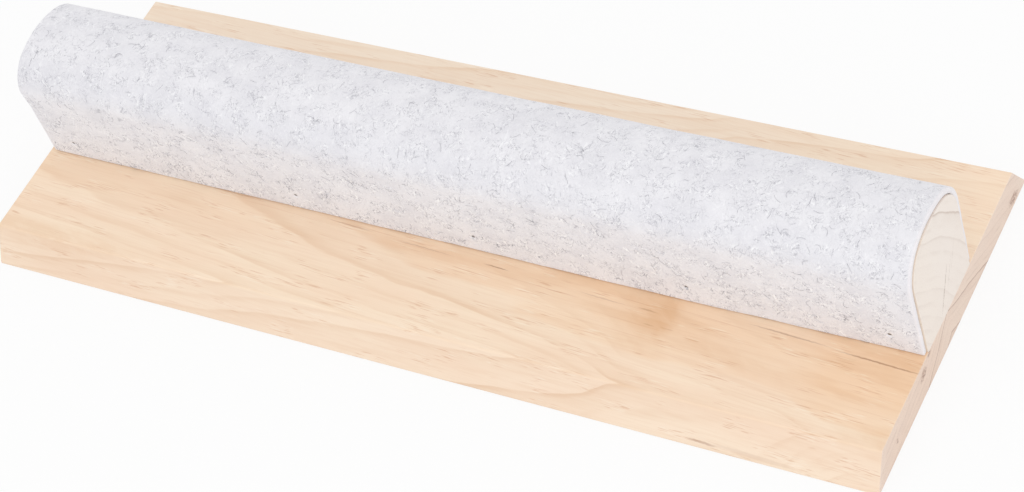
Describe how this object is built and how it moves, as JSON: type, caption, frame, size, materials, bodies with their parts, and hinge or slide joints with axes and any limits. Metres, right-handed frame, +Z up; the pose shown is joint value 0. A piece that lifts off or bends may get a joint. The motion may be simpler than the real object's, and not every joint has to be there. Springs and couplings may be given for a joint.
{
  "type": "seam pressing tool",
  "caption": "Wooden seam pressing tool: a bevelled board carries a domed rail that is covered in grey felt, to press seams open along the dome without marking the cloth.",
  "frame": {"origin": "middle of the board's underside", "axes": "+X along the rail, -Y towards the front that the picture shows, +Z up"},
  "size_m": [0.4, 0.1488, 0.0677],
  "materials": {
    "board_wood": "sanded bare pine, flat-sawn grain",
    "rail_wood": "sanded bare pine, pale end grain",
    "felt": "light grey marled wool felt",
    "brad_steel": "dull drawn wire",
    "screw_steel": "zinc plated, slightly worn"
  },
  "bodies": {
    "root": {"base_board": "board_wood", "pressing_rail": "rail_wood", "felt_cover": "felt", "felt_brad_front_1": "brad_steel", "felt_brad_front_2": "brad_steel", "felt_brad_front_3": "brad_steel", "felt_brad_front_4": "brad_steel", "felt_brad_front_5": "brad_steel", "felt_brad_back_1": "brad_steel", "felt_brad_back_2": "brad_steel", "felt_brad_back_3": "brad_steel", "felt_brad_back_4": "brad_steel", "felt_brad_back_5": "brad_steel", "rail_screw_1": "screw_steel", "rail_screw_2": "screw_steel", "rail_screw_3": "screw_steel", "rail_screw_4": "screw_steel"}
  },
  "joints": []
}
